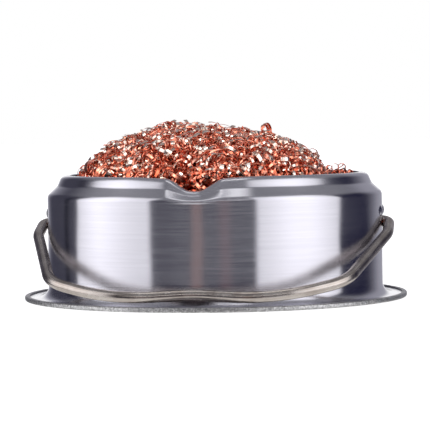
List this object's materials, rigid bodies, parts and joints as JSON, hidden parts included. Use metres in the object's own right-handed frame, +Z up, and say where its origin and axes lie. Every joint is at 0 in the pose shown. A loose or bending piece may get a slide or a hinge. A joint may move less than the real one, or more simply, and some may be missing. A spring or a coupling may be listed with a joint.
{
  "type": "soldering iron rest and tip cleaner",
  "caption": "Round steel cup holding copper ribbon wool for wiping a soldering tip, with a notched rim, a hemmed base and a hinged wire bail that rests an iron.",
  "frame": {"origin": "centre of the underside of the base plate", "axes": "+Z up, -Y towards the rim notch and the lowered bail, X along the bail's hinge"},
  "size_m": [0.09, 0.09, 0.0413],
  "materials": {
    "tinned_plate": "dull tinned sheet, crimped and grained at the hem",
    "drawn_steel": "bright drawn stainless sheet with a faint turned grain",
    "steel_wire": "warm grey drawn wire, satin",
    "copper_wool": "bright curled copper ribbon"
  },
  "bodies": {
    "base": {"base_plate": "tinned_plate", "cup_shell": "drawn_steel"},
    "bail": {"bail": "steel_wire"},
    "wool": {"cleaning_wool": "copper_wool"}
  },
  "joints": [
    {"name": "bail_swing", "type": "hinge", "parent": "base", "child": "bail", "pos_m": [0, 0, 0.0177], "axis": [-1, 0, 0], "range_deg": [0, 217.9]},
    {"name": "wool_lift", "type": "slide", "parent": "base", "child": "wool", "axis": [0, 0, 1], "range_m": [0, 0.045]}
  ]
}
